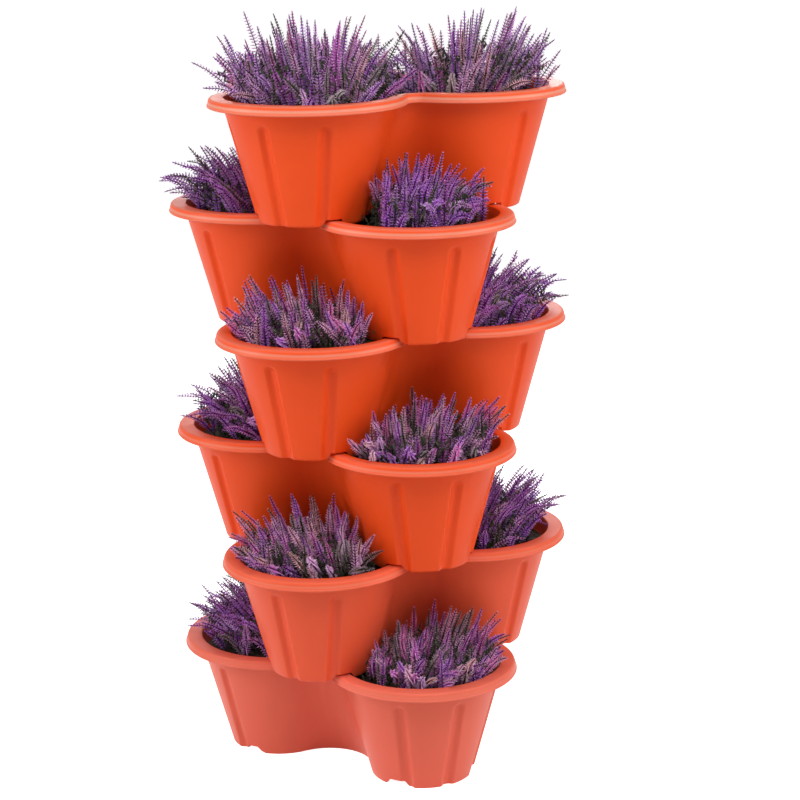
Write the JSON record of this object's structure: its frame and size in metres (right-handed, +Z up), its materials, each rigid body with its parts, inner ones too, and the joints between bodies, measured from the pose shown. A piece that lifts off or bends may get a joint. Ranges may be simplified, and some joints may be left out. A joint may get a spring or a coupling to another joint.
{
  "type": "vertical planter tower",
  "caption": "Tower of stacked three-lobed terracotta-coloured plastic pots, each turned half a lobe, planted with flowering heather in every lobe.",
  "frame": {"origin": "on the tower's vertical axis, at the level of the floor it stands on", "axes": "+Z up along the stack; the picture looks along +Y, with +X to its right; the bottom pot has one lobe towards -X"},
  "size_m": [0.418, 0.3884, 0.802],
  "materials": {
    "terracotta_plastic": "moulded terracotta-orange plastic with a satin sheen",
    "compost": null,
    "heather": "dense heather spikes with tiny purple and lilac flowers over green stems; fabric stands in for foliage"
  },
  "bodies": {
    "tier_1": {"pot_1": "terracotta_plastic", "compost_1": "compost", "heather_1_1": "heather", "heather_1_2": "heather", "heather_1_3": "heather"},
    "tier_2": {"pot_2": "terracotta_plastic", "compost_2": "compost", "heather_2_1": "heather", "heather_2_2": "heather", "heather_2_3": "heather"},
    "tier_3": {"pot_3": "terracotta_plastic", "compost_3": "compost", "heather_3_1": "heather", "heather_3_2": "heather", "heather_3_3": "heather"},
    "tier_4": {"pot_4": "terracotta_plastic", "compost_4": "compost", "heather_4_1": "heather", "heather_4_2": "heather", "heather_4_3": "heather"},
    "tier_5": {"pot_5": "terracotta_plastic", "compost_5": "compost", "heather_5_1": "heather", "heather_5_2": "heather", "heather_5_3": "heather"},
    "tier_6": {"pot_6": "terracotta_plastic", "compost_6": "compost", "heather_6_1": "heather", "heather_6_2": "heather", "heather_6_3": "heather"}
  },
  "joints": [
    {"name": "lift_off_2", "type": "slide", "parent": "tier_1", "child": "tier_2", "axis": [0, 0, 1], "range_m": [0, 0.15]},
    {"name": "lift_off_3", "type": "slide", "parent": "tier_2", "child": "tier_3", "axis": [0, 0, 1], "range_m": [0, 0.15]},
    {"name": "lift_off_4", "type": "slide", "parent": "tier_3", "child": "tier_4", "axis": [0, 0, 1], "range_m": [0, 0.15]},
    {"name": "lift_off_5", "type": "slide", "parent": "tier_4", "child": "tier_5", "axis": [0, 0, 1], "range_m": [0, 0.15]},
    {"name": "lift_off_6", "type": "slide", "parent": "tier_5", "child": "tier_6", "axis": [0, 0, 1], "range_m": [0, 0.15]}
  ]
}
